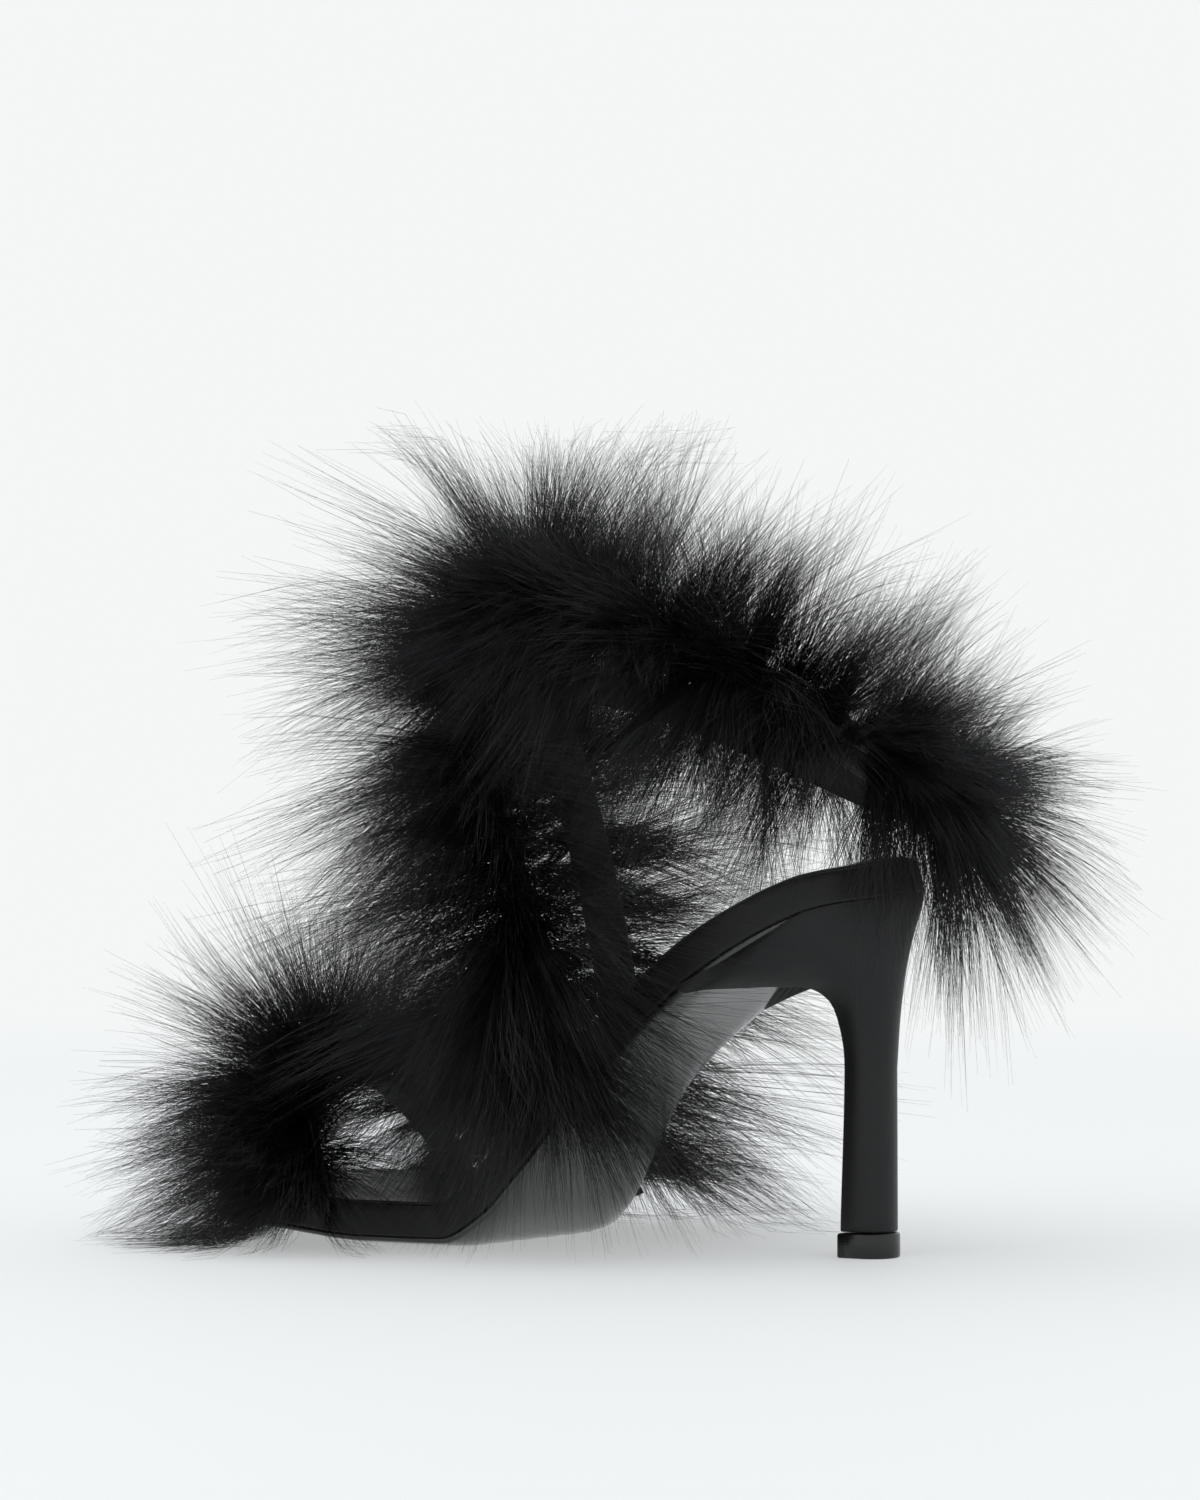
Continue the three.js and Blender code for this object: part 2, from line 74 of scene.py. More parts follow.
cad_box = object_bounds()
MM = 0.001

# ---------------------------------------------------------------- sizes

SOLE_LENGTH = 214.5
HEEL_HEIGHT = 100
HEEL_OVERHANG = 13.5
TOE_TIP = HEEL_OVERHANG - SOLE_LENGTH
# The line of the ball runs askew across the sole, and the underside curls up at its edge.
BALL_SKEW = math.tan(math.radians(12.4))
CROWN_LIFT = 1.9
# The air between two pieces that lie on each other.
GAP = 0.3
OUTSOLE_TOP = 1.6
WRAP_LOW = 1.9
SOCK_LOW = 10.5
SOCK_TOP = 11.3
STACK_TOP = 10.5
TIP_HEIGHT = 6.8
STRAP_WIDTH = 12
TOE_STRAP_WIDTH = 8
LINING_THICKNESS = 0.8
STRAP_THICKNESS = 1.3
STRAP_LOW = LINING_THICKNESS + 1.5 * GAP
CORD_RADIUS = 1.1
CORD_LOW = STRAP_LOW + STRAP_THICKNESS + 2 * GAP
PLUME_ROOT = CORD_LOW + CORD_RADIUS
ANKLE_HALF_WIDTH = 37
WALL_STAND_OFF = 1.8
ELASTIC_WIDTH = 11
TIP_FRONT = -7.9
TIP_BACK = 6.7
TIP_HALF_WIDTH = 7.9


def along(share):
    return TOE_TIP + share * SOLE_LENGTH


def clamp(value, low=0.0, high=1.0):
    return max(low, min(high, value))


def ease(low, high, value):
    t = clamp((value - low) / (high - low))
    return t * t * (3 - 2 * t)


def mix(a, b, share):
    return a + (b - a) * share


def line_through(points):
    """A smooth line through points that stays level where two neighbours are level."""
    slopes = [(q[1] - p[1]) / (q[0] - p[0]) for p, q in zip(points, points[1:])]
    tangents = []
    for i in range(len(points)):
        before = slopes[max(0, i - 1)]
        after = slopes[min(i, len(slopes) - 1)]
        level = before * after <= 0
        tangents.append(0 if level else 2 * before * after / (before + after))

    def height(x):
        if x <= points[0][0]:
            return points[0][1]
        if x >= points[-1][0]:
            return points[-1][1]
        i = next(k for k, p in enumerate(points) if p[0] > x) - 1
        width = points[i + 1][0] - points[i][0]
        t = (x - points[i][0]) / width
        start = (2 * t**3 - 3 * t**2 + 1) * points[i][1]
        leave = (t**3 - 2 * t**2 + t) * width * tangents[i]
        end = (3 * t**2 - 2 * t**3) * points[i + 1][1]
        arrive = (t**3 - t**2) * width * tangents[i + 1]
        return start + leave + end + arrive

    return height


# ---------------------------------------------------------------- the sole's shape

SIDE_LINE = [
    (0, 0.072), (0.042, 0.042), (0.14, 0.032), (0.24, 0.012), (0.32, 0), (0.435, 0), (0.485, 0.068),
    (0.53, 0.198), (0.608, 0.448), (0.692, 0.615), (0.785, 0.771), (0.878, 0.895), (0.948, 0.95), (1, 0.98),
]
BREADTH = [
    (0, 26), (0.042, 29.4), (0.135, 31.4), (0.25, 37.3), (0.367, 38.4), (0.46, 35.3), (0.53, 29.6),
    (0.61, 24.4), (0.69, 25), (0.785, 27.2), (0.878, 26.4), (1, 25),
]
MIDDLE = [
    (0, 12.5), (0.06, 9), (0.14, 5.3), (0.25, 1.7), (0.37, -0.3), (0.48, -2.6), (0.56, -2.2),
    (0.66, -0.5), (0.8, 0),
]
TOE_ROUND = 34
HEEL_ROUND = 25

side_line = line_through([(along(s), rise * HEEL_HEIGHT) for s, rise in SIDE_LINE])
breadth = line_through([(along(s), half) for s, half in BREADTH])
middle = line_through([(along(s), x) for s, x in MIDDLE])


def half_width(y, inset=0.0):
    toe = clamp((y - TOE_TIP - inset) / (TOE_ROUND - inset))
    heel = clamp((HEEL_OVERHANG - inset - y) / (HEEL_ROUND - inset))
    return (breadth(y) - inset) * math.sqrt(1 - (1 - toe) ** 2) * math.sqrt(1 - (1 - heel) ** 2)


def underside(x, y):
    skew = BALL_SKEW * (1 - ease(along(0.7), along(0.94), y))
    off = abs(x - middle(y)) / breadth(y)
    return side_line(y + skew * x) + CROWN_LIFT * clamp((off - 0.6) / 0.4) ** 2


def sole_normal(x, y):
    slope = (underside(x, y + 1) - underside(x, y - 1)) / 2
    return Vector((0, -slope, 1)).normalized()


def on_sole(x, y, height):
    return Vector((x, y, underside(x, y))) + sole_normal(x, y) * height


def station_y(share, inset):
    turn = (1 - math.cos(math.pi * clamp(share, 0.002, 0.998))) / 2
    return mix(TOE_TIP + inset, HEEL_OVERHANG - inset, turn)


# ---------------------------------------------------------------- mesh making


def make_piece(name, points, faces, finish, nodes):
    """A closed smooth mesh from points in millimetres, standing for CAD nodes."""
    mesh = bpy.data.meshes.new(name)
    mesh.from_pydata([Vector(p) * MM for p in points], [], faces)
    bm = bmesh.new()
    bm.from_mesh(mesh)
    bmesh.ops.remove_doubles(bm, verts=bm.verts, dist=2e-6)
    bmesh.ops.dissolve_degenerate(bm, edges=bm.edges, dist=1e-6)
    bmesh.ops.recalc_face_normals(bm, faces=bm.faces)
    for face in bm.faces:
        face.smooth = True
    bm.to_mesh(mesh)
    bm.free()
    piece = bpy.data.objects.new(name, mesh)
    bpy.context.scene.collection.objects.link(piece)
    mesh.materials.append(finish)
    return place_piece(piece, nodes)


def place_piece(piece, nodes):
    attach(piece, "root")
    if nodes:
        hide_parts(*nodes)
    return piece


def sole_layer(name, profile, finish, nodes, rows=150, columns=14, crown=0.0):
    """A layer of the sole. Its profile climbs the edge as (inset, height above the underside)."""
    points = []
    faces = []

    def grid(inset, height, lift):
        first = len(points)
        for i in range(rows + 1):
            y = station_y(i / rows, inset)
            half = half_width(y, inset)
            for j in range(columns + 1):
                across = 2 * j / columns - 1
                x = middle(y) + half * across
                raised = lift * (1 - across**4) * clamp(half / 12)
                points.append(on_sole(x, y, height + raised))
        for i in range(rows):
            for j in range(columns):
                a = first + i * (columns + 1) + j
                faces.append((a, a + 1, a + columns + 2, a + columns + 1))

    def loop(inset, height):
        first = len(points)
        sides = [(1, i) for i in range(rows + 1)] + [(-1, rows - i) for i in range(rows + 1)]
        for side, i in sides:
            y = station_y(i / rows, inset)
            points.append(on_sole(middle(y) + side * half_width(y, inset), y, height))
        return first

    grid(*profile[0], 0)
    grid(*profile[-1], crown)
    loops = [loop(*stop) for stop in profile]
    count = 2 * (rows + 1)
    for low, high in zip(loops, loops[1:]):
        for k in range(count):
            n = (k + 1) % count
            faces.append((low + k, low + n, high + n, high + k))
    return make_piece(name, points, faces, finish, nodes)


def wall_band(name, section, finish, nodes, rows=170):
    """A band that runs round the sole's edge, with a closed section of (inset, height)."""
    sides = [(1, i) for i in range(rows + 1)] + [(-1, rows - i) for i in range(rows + 1)]
    points = []
    for side, i in sides:
        for inset, height in section:
            y = station_y(i / rows, inset)
            points.append(on_sole(middle(y) + side * half_width(y, inset), y, height))
    faces = ring_faces(len(sides), len(section), True)
    return make_piece(name, points, faces, finish, nodes)


def ring_faces(rings, count, closed):
    faces = []
    for r in range(rings if closed else rings - 1):
        s = (r + 1) % rings
        for k in range(count):
            n = (k + 1) % count
            faces.append((r * count + k, r * count + n, s * count + n, s * count + k))
    return faces


def tube(name, rings, finish, nodes):
    """A body through a row of closed rings, with fanned ends."""
    count = len(rings[0])
    points = [p for ring in rings for p in ring]
    faces = ring_faces(len(rings), count, False)
    for first, ring in ((0, rings[0]), ((len(rings) - 1) * count, rings[-1])):
        centre = sum((Vector(p) for p in ring), Vector()) / count
        points.append(centre)
        faces += [(first + k, first + (k + 1) % count, len(points) - 1) for k in range(count)]
    return make_piece(name, points, faces, finish, nodes)


# ---------------------------------------------------------------- strap routes


def on_wall(side, y, height):
    def edge(v):
        return on_sole(middle(v) + side * half_width(v), v, height)

    run = edge(y + 3) - edge(y - 3)
    facing = (run.cross(sole_normal(0, y)) * side).normalized()
    return edge(y) + facing * WALL_STAND_OFF, facing


def knot(x, share, z, *facing):
    return Vector((x, along(share), z)), Vector(facing).normalized()


LOOP_BACK = HEEL_HEIGHT + 22
CROSSING = HEEL_HEIGHT + 57
CROSS_SHARE = 0.468
UNDER_STACK = LINING_THICKNESS + STRAP_THICKNESS + 2 * CORD_RADIUS + 6 * GAP
TOE_ARCH = 46

inner_route = [
    on_wall(1, along(0.553), WRAP_LOW + 1),
    on_wall(1, along(0.588), STACK_TOP + 2),
    knot(0.9 * ANKLE_HALF_WIDTH, 0.525, CROSSING - 72, 1, -0.1, 0),
    knot(0.92 * ANKLE_HALF_WIDTH, 0.49, CROSSING - 44, 0.95, -0.45, 0.1),
    knot(0.66 * ANKLE_HALF_WIDTH, 0.455, CROSSING - 16, 0.6, -0.85, 0.45),
    knot(0, CROSS_SHARE, CROSSING, 0, -0.8, 0.7),
    knot(-0.66 * ANKLE_HALF_WIDTH, 0.535, CROSSING, -0.6, -0.6, 0.65),
    knot(-ANKLE_HALF_WIDTH, 0.68, CROSSING - 12, -1, -0.1, 0.45),
    knot(-ANKLE_HALF_WIDTH, 0.855, LOOP_BACK + 7, -1, 0.3, 0.2),
    knot(-0.65 * ANKLE_HALF_WIDTH, 0.967, LOOP_BACK, -0.65, 0.9, 0.1),
    knot(-9, 1.003, LOOP_BACK, -0.2, 1, 0),
]
outer_route = [
    on_wall(-1, along(0.508), WRAP_LOW + 1),
    on_wall(-1, along(0.527), STACK_TOP + 2),
    knot(-1.08 * ANKLE_HALF_WIDTH, 0.487, CROSSING - 108, -1, -0.1, 0),
    knot(-1.05 * ANKLE_HALF_WIDTH, 0.457, CROSSING - 62, -1, -0.3, 0.05),
    knot(-0.74 * ANKLE_HALF_WIDTH, 0.43, CROSSING - 20, -0.7, -0.8, 0.4),
    knot(0, CROSS_SHARE - 0.8 * UNDER_STACK / SOLE_LENGTH, CROSSING + 0.75 * UNDER_STACK, 0, -0.8, 0.7),
    knot(0.66 * ANKLE_HALF_WIDTH, 0.52, CROSSING + 17, 0.6, -0.55, 0.75),
    knot(1.01 * ANKLE_HALF_WIDTH, 0.695, CROSSING + 12, 1, -0.05, 0.5),
    knot(ANKLE_HALF_WIDTH, 0.862, LOOP_BACK + 31, 1, 0.3, 0.3),
    knot(0.65 * ANKLE_HALF_WIDTH, 0.967, LOOP_BACK + 14, 0.65, 0.9, 0.15),
    knot(9, 1.005, LOOP_BACK + 6, 0.2, 1, 0),
]
toe_route = [
    on_wall(1, along(0.224), WRAP_LOW + 1),
    on_wall(1, along(0.222), STACK_TOP + 2),
    knot(39, 0.205, 0.62 * TOE_ARCH, 1, 0, 0.35),
    knot(27, 0.178, 0.9 * TOE_ARCH, 0.6, -0.1, 0.8),
    knot(6, 0.162, TOE_ARCH, 0, -0.2, 1),
    knot(-15, 0.175, 0.9 * TOE_ARCH, -0.5, -0.1, 0.85),
    knot(-31, 0.205, 0.6 * TOE_ARCH, -1, 0, 0.45),
    on_wall(-1, along(0.232), STACK_TOP + 2),
    on_wall(-1, along(0.236), WRAP_LOW + 1),
]
back_route = [inner_route[-1], knot(0, 1.01, LOOP_BACK + 3, 0, 1, 0), outer_route[-1]]
back_boa_route = [inner_route[-2], *back_route, outer_route[-2]]


def spline_point(points, t):
    """A point on the centripetal curve through points."""
    last = len(points) - 1
    i = min(int(t * last), last - 1)
    w = t * last - i
    p1 = points[i]
    p2 = points[i + 1]
    p0 = points[i - 1] if i > 0 else 2 * points[0] - points[1]
    p3 = points[i + 2] if i + 2 <= last else 2 * points[last] - points[last - 1]
    d1 = max((p2 - p1).length ** 0.5, 1e-4)
    d0 = (p1 - p0).length ** 0.5 or d1
    d2 = (p3 - p2).length ** 0.5 or d1
    m1 = ((p1 - p0) / d0 - (p2 - p0) / (d0 + d1) + (p2 - p1) / d1) * d1
    m2 = ((p2 - p1) / d1 - (p3 - p1) / (d1 + d2) + (p3 - p2) / d2) * d1
    square = -3 * p1 + 3 * p2 - 2 * m1 - m2
    cube = 2 * p1 - 2 * p2 + m1 + m2
    return p1 + m1 * w + square * w**2 + cube * w**3


def frames_of(route, steps, start=0.0, end=1.0):
    """Places along a route, each with the way it faces, the way it runs and the way of its width."""
    places = [k[0] for k in route]
    facings = [k[1] for k in route]
    frames = []
    for i in range(steps + 1):
        t = mix(start, end, i / steps)
        before = spline_point(places, max(0, t - 1e-4))
        after = spline_point(places, min(1, t + 1e-4))
        run = (after - before).normalized()
        facing = spline_point(facings, t)
        facing = (facing - run * facing.dot(run)).normalized()
        frames.append((spline_point(places, t), facing, run, run.cross(facing)))
    return frames


def band(name, route, width, low, high, finish, nodes, slot, steps=150, start=0.0, end=1.0, puff=0.0):
    """A flat band with rounded edges, between two distances off the route's face."""
    half = width / 2
    curl = (high - low) / 2
    centre = (high + low) / 2
    section = []
    for k in range(7):
        angle = -math.pi / 2 + math.pi * k / 6
        section.append((half - curl + curl * math.cos(angle), centre + curl * math.sin(angle)))
    for k in range(1, 6):
        across = 1 - k / 3
        section.append(((half - curl) * across, high + puff * (1 - across**2)))
    for k in range(7):
        angle = math.pi / 2 + math.pi * k / 6
        section.append((-half + curl + curl * math.cos(angle), centre + curl * math.sin(angle)))
    for k in range(1, 6):
        section.append(((half - curl) * (k / 3 - 1), low))
    rings = []
    for place, facing, run, wide in frames_of(route, steps, start, end):
        rings.append([place + wide * across + facing * out for across, out in section])
    return tube(name, rings, finish, nodes)


# ---------------------------------------------------------------- node trees


class Wire:
    """An output in a node tree. Sums and products on it add the tree's maths nodes."""

    def __init__(self, bench, socket):
        self.bench = bench
        self.socket = socket

    def maths(self, operation, *values):
        if any(is_vector(v) for v in values):
            if operation == "MULTIPLY" and not all(is_vector(v) for v in values):
                vector, scale = sorted(values, key=is_vector, reverse=True)
                sizes = {0: vector, "Scale": scale}
                return self.bench.node("ShaderNodeVectorMath", {"operation": "SCALE"}, sizes)
            settings = {"operation": operation}
            return self.bench.node("ShaderNodeVectorMath", settings, dict(enumerate(values)))
        return self.bench.node("ShaderNodeMath", {"operation": operation}, dict(enumerate(values)))

    def __add__(self, other):
        return self.maths("ADD", self, other)

    def __radd__(self, other):
        return self.maths("ADD", other, self)

    def __sub__(self, other):
        return self.maths("SUBTRACT", self, other)

    def __rsub__(self, other):
        return self.maths("SUBTRACT", other, self)

    def __mul__(self, other):
        return self.maths("MULTIPLY", self, other)

    def __rmul__(self, other):
        return self.maths("MULTIPLY", other, self)

    def __pow__(self, other):
        return self.maths("POWER", self, other)

    def floor(self):
        return self.maths("FLOOR", self)


def is_vector(value):
    if isinstance(value, Wire):
        return value.socket.type == "VECTOR"
    return isinstance(value, (tuple, Vector))


class Bench:
    """A node tree that is being built."""

    def __init__(self, tree):
        self.tree = tree

    def node(self, kind, settings=None, values=None, output=0):
        made = self.tree.nodes.new(kind)
        for key, value in (settings or {}).items():
            setattr(made, key, value)
        for key, value in (values or {}).items():
            if isinstance(key, str):
                socket = next(s for s in made.inputs if s.name == key and s.enabled)
            else:
                socket = made.inputs[key]
            if isinstance(value, Wire):
                self.tree.links.new(value.socket, socket)
            else:
                socket.default_value = value
        if isinstance(output, str):
            found = [s for s in made.outputs if s.name == output and s.enabled]
        else:
            found = [s for s in made.outputs if s.enabled][output:]
        return Wire(self, found[0]) if found else made


class Finish(Bench):
    """A material with one principled shader, and the few patterns that the sandal's skins share."""

    def __init__(self, name, fixed):
        self.material = bpy.data.materials.new(name)
        self.material.use_nodes = True
        super().__init__(self.material.node_tree)
        self.shader = self.tree.nodes["Principled BSDF"]
        for key, value in fixed.items():
            self.shader.inputs[key].default_value = value
        self.place = self.node("ShaderNodeTexCoord", output="Object")

    def feed(self, name, wire):
        self.tree.links.new(wire.socket, self.shader.inputs[name])

    def noise(self, scale, detail=3.0, rough=0.5, stretch=(1, 1, 1)):
        turned = self.node("ShaderNodeMapping", None, {"Vector": self.place, "Scale": stretch})
        sizes = {"Vector": turned, "Scale": scale, "Detail": detail, "Roughness": rough}
        return self.node("ShaderNodeTexNoise", None, sizes)

    def waves(self, scale, way, distortion=0.0):
        settings = {"wave_type": "BANDS", "bands_direction": way}
        sizes = {"Vector": self.place, "Scale": scale, "Distortion": distortion}
        return self.node("ShaderNodeTexWave", settings, sizes)

    def cells(self, scale):
        sizes = {"Vector": self.place, "Scale": scale}
        return self.node("ShaderNodeTexVoronoi", {"feature": "F1"}, sizes)

    def spread(self, wire, low, high):
        """The wire's middle range laid out between two values."""
        return self.node("ShaderNodeMapRange", None, {"Value": wire, 1: 0.3, 2: 0.7, 3: low, 4: high})

    def shades(self, wire, *stops):
        """A colour ramp from (place, (r, g, b)) stops."""
        made = self.tree.nodes.new("ShaderNodeValToRGB")
        ramp = made.color_ramp
        for spot, colour in stops[2:]:
            ramp.elements.new(spot)
        for element, (spot, colour) in zip(ramp.elements, sorted(stops)):
            element.position = spot
            element.color = (*colour, 1)
        self.tree.links.new(wire.socket, made.inputs[0])
        return Wire(self, made.outputs[0])

    def bump(self, height, depth, strength=1.0):
        heights = {"Height": height, "Distance": depth, "Strength": strength}
        self.feed("Normal", self.node("ShaderNodeBump", None, heights))


def satin_finish(name, tone, roughness):
    """Duchess satin: a very fine twill that only just breaks up the light."""
    skin = Finish(name, {"Sheen Weight": 0.08, "Sheen Roughness": 0.4, "Specular IOR Level": 0.32})
    twill = skin.waves(620, "DIAGONAL", 0.6) * 0.6 + skin.waves(900, "Z") * 0.4
    slub = skin.noise(160, 4, 0.6, (1, 1, 3))
    dust = skin.noise(28, 3)
    shade = skin.spread(twill * 0.45 + slub * 0.35 + dust * 0.2, 0, 1)
    dark = tuple(c * 0.72 for c in tone)
    light = tuple(c * 1.35 for c in tone)
    skin.feed("Base Color", skin.shades(shade, (0, dark), (1, light)))
    skin.feed("Roughness", skin.spread(slub * 0.6 + dust * 0.4, roughness - 0.05, roughness + 0.07))
    skin.bump(twill * 0.7 + slub * 0.3, 0.00006, 0.5)
    return skin.material


def leather_finish(name, tone, roughness, grain, depth, coat):
    skin = Finish(name, {"Coat Weight": coat, "Coat Roughness": 0.12, "Specular IOR Level": 0.5})
    pores = skin.cells(grain)
    folds = skin.noise(grain * 0.12, 5, 0.6)
    shade = skin.spread(pores * 0.4 + folds * 0.6, 0, 1)
    dark = tuple(c * 0.8 for c in tone)
    light = tuple(c * 1.25 for c in tone)
    skin.feed("Base Color", skin.shades(shade, (0, dark), (1, light)))
    skin.feed("Roughness", skin.spread(folds, roughness - 0.04, roughness + 0.04))
    skin.bump(pores * 0.5 + folds * 0.5, depth, 0.6)
    return skin.material


def moulded_finish(name, tone, roughness, metallic=0.0):
    skin = Finish(name, {"Metallic": metallic, "Specular IOR Level": 0.5})
    cloud = skin.noise(90, 4)
    scuff = skin.noise(600, 2, 0.5, (1, 1, 6))
    dark = tuple(c * 0.75 for c in tone)
    light = tuple(c * 1.25 for c in tone)
    skin.feed("Base Color", skin.shades(skin.spread(cloud, 0, 1), (0, dark), (1, light)))
    skin.feed("Roughness", skin.spread(scuff * 0.6 + cloud * 0.4, roughness - 0.06, roughness + 0.1))
    skin.bump(scuff, 0.00004, 0.4)
    return skin.material


def ribbed_finish(name, tone, roughness, pitch, way):
    """Grosgrain ribbon or elastic: close ribs across the band."""
    skin = Finish(name, {"Sheen Weight": 0.2, "Sheen Roughness": 0.5})
    ribs = skin.waves(pitch, way, 0.3)
    fuzz = skin.noise(700, 3)
    shade = skin.spread(ribs * 0.6 + fuzz * 0.4, 0, 1)
    dark = tuple(c * 0.55 for c in tone)
    light = tuple(c * 1.4 for c in tone)
    skin.feed("Base Color", skin.shades(shade, (0, dark), (1, light)))
    skin.feed("Roughness", skin.spread(fuzz, roughness - 0.06, roughness + 0.08))
    skin.bump(ribs * 0.8 + fuzz * 0.2, 0.0002, 0.7)
    return skin.material


def flecked_finish(name, dark, light, roughness, scale):
    """Board, cork and foam: pressed flecks or open cells."""
    skin = Finish(name, {})
    flecks = skin.cells(scale)
    cloud = skin.noise(scale * 0.3, 4)
    skin.feed("Base Color", skin.shades(skin.spread(flecks * 0.6 + cloud * 0.4, 0, 1), (0, dark), (1, light)))
    skin.feed("Roughness", skin.spread(cloud, roughness - 0.05, roughness + 0.05))
    skin.bump(flecks, 0.0002, 0.6)
    return skin.material


# A strand's map gives it one of this many shade lanes.
LANES = 48


def plume_finish(name, tone):
    """Dyed down: each lane of the strands' map has its own shade, a little lighter at the tips."""
    skin = Finish(name, {"Specular IOR Level": 0.4, "Roughness": 0.42})
    strand = skin.node("ShaderNodeUVMap", {"uv_map": "OFBake"})
    tipward = skin.node("ShaderNodeSeparateXYZ", None, {0: strand}, "X")
    lane = (skin.node("ShaderNodeSeparateXYZ", None, {0: strand}, "Y") * LANES).floor()
    dye = skin.node("ShaderNodeTexWhiteNoise", {"noise_dimensions": "1D"}, {"W": lane}, "Value")
    shade = dye * 0.8 + tipward * 0.2
    dark = (0, (0.0016 * tone, 0.0016 * tone, 0.0021 * tone))
    middling = (0.6, (0.004 * tone, 0.004 * tone, 0.0054 * tone))
    charcoal = (0.85, (0.0095 * tone, 0.0095 * tone, 0.0125 * tone))
    faded = (0.97, (0.024 * tone, 0.023 * tone, 0.0225 * tone))
    skin.feed("Base Color", skin.shades(shade, dark, faded, middling, charcoal))
    return skin.material


satin = satin_finish("satin", (0.0064, 0.0064, 0.0073), 0.46)
sole_leather = leather_finish("sole_leather", (0.011, 0.011, 0.0115), 0.2, 900, 0.00002, 0.8)
sock_leather = leather_finish("sock_leather", (0.012, 0.012, 0.012), 0.4, 700, 0.0001, 0.0)
fibreboard = flecked_finish("fibreboard", (0.12, 0.08, 0.045), (0.22, 0.15, 0.09), 0.85, 500)
cork = flecked_finish("cork", (0.16, 0.09, 0.04), (0.42, 0.27, 0.14), 0.9, 320)
foam = flecked_finish("foam", (0.55, 0.52, 0.44), (0.7, 0.67, 0.58), 0.9, 1200)
steel = moulded_finish("steel", (0.5, 0.51, 0.52), 0.32, 1.0)
heel_plastic = moulded_finish("heel_plastic", (0.02, 0.02, 0.021), 0.45)
tip_plastic = moulded_finish("tip_plastic", (0.006, 0.006, 0.0065), 0.2)
ribbon = ribbed_finish("ribbon", (0.008, 0.008, 0.0085), 0.6, 520, "Z")
stretch = ribbed_finish("stretch", (0.007, 0.007, 0.0075), 0.75, 420, "X")
down = plume_finish("down", 1)
quill = plume_finish("quill", 2.2)

HIDDEN_PARTS = {
    "platform_filler": cork, "insole_board": fibreboard, "footbed_foam": foam, "shank": steel,
    "shank_rivet_1": steel, "shank_rivet_2": steel, "heel_core": heel_plastic, "heel_spigot": steel,
    "heel_tip_pin": steel, "heel_screw": steel, "heel_nail_1": steel, "heel_nail_2": steel,
    "heel_nail_3": steel, "heel_nail_4": steel, "toe_boa_cord": ribbon, "inner_boa_cord": ribbon,
    "outer_boa_cord": ribbon,
}
for node, finish in HIDDEN_PARTS.items():
    for slot in frame["nodes"][node].material_slots:
        slot.material = finish

# ---------------------------------------------------------------- sole and heel

outsole_edge = [(2.2, 0), (1.35, 0.12), (1, 0.5), (1, OUTSOLE_TOP)]
sole_layer("outsole_leather", outsole_edge, sole_leather, ["outsole"])

# The satin is turned under at its lower edge, so that no filler shows over the outsole.
wrap_top = 10.2
wrap_section = [
    (0.25, WRAP_LOW - 0.25), (0.05, WRAP_LOW), (0, WRAP_LOW + 0.4), (0, 5), (0, 8),
    (0.03, wrap_top - 0.25), (0.25, wrap_top + 0.15), (0.6, wrap_top + 0.25), (0.9, wrap_top),
    (0.9, 6), (0.9, WRAP_LOW - 0.05), (2.4, WRAP_LOW - 0.05), (2.4, WRAP_LOW - 0.25),
]
wall_band("sole_wrap_satin", wrap_section, satin, ["sole_wrap"])

sock_edge = [
    (1.2, SOCK_LOW), (0.6, SOCK_LOW + 0.1), (0.45, SOCK_LOW + 0.4), (0.9, SOCK_TOP),
    (2.4, SOCK_TOP + 0.25),
]
footbed = sole_layer("footbed_sock", sock_edge, sock_leather, ["sock_lining"], crown=1.1)

HEEL_FRONT = [
    (0, -47.5), (2, -45), (3.5, -41), (8.8, -29), (12.5, -21), (18, -13), (26, -8.4), (40, -6), (85, -7.3),
]
HEEL_BACK = [(0, 12.7), (3, 12), (7.5, 10.6), (18, 8.5), (29, 7.1), (43, 6.2)]
HEEL_HALF = [(0, 25.8), (3, 25), (8, 21.8), (14, 16.4), (20, 12), (28, 9), (42, 7.4)]
BREAST_MIDDLE = -15.5
# The breast's outer wing reaches this much as far forward as the inner one.
OUTER_WING = 0.45
heel_front = line_through(HEEL_FRONT)
heel_back = line_through(HEEL_BACK)
heel_half = line_through(HEEL_HALF)
heel_top = side_line(0)
heel_foot = heel_top - TIP_HEIGHT - GAP


def heel_ring(depth, inset=0.0, front_points=21, back_points=40):
    half = heel_half(depth) - inset
    front = heel_front(depth) + inset
    back = heel_back(depth) - inset
    hollow = max(0, BREAST_MIDDLE - front)
    curve = min(half, back - front - 1)
    plan = []
    for i in range(front_points):
        across = 1 - 2 * i / (front_points - 1)
        reach = 1 if across > 0 else OUTER_WING
        plan.append((half * across, front + hollow * (1 - reach * across**2)))
    for i in range(1, back_points):
        angle = math.pi * (1 - i / back_points)
        plan.append((half * math.cos(angle), back - curve + curve * math.sin(angle)))
    level = ease(12, 30, depth)
    return [(x, y, mix(underside(x, y), heel_top, level) - depth) for x, y in plan]


heel_depths = [-1.5, -1.2, -0.6, 0] + [0.7 * i for i in range(1, 30)]
heel_depths += [21 + i * (heel_foot - 21.3) / 24 for i in range(25)]
heel_rings = [heel_ring(-1.55, 0.5)] + [heel_ring(depth, 0.12) for depth in heel_depths]
heel_rings.append(heel_ring(heel_foot, 0.4))
tube("heel_satin", heel_rings, satin, ["heel_cover"])


def tip_ring(height, inset):
    front = TIP_FRONT + inset
    back = TIP_BACK - inset
    half = TIP_HALF_WIDTH - inset
    plan = [(half, front), (half * 0.5, front), (0, front), (-half * 0.5, front), (-half, front)]
    for i in range(33):
        angle = math.pi * (1 - i / 32)
        plan.append((half * math.cos(angle), back - half + half * math.sin(angle)))
    return [(x, y, height) for x, y in plan]


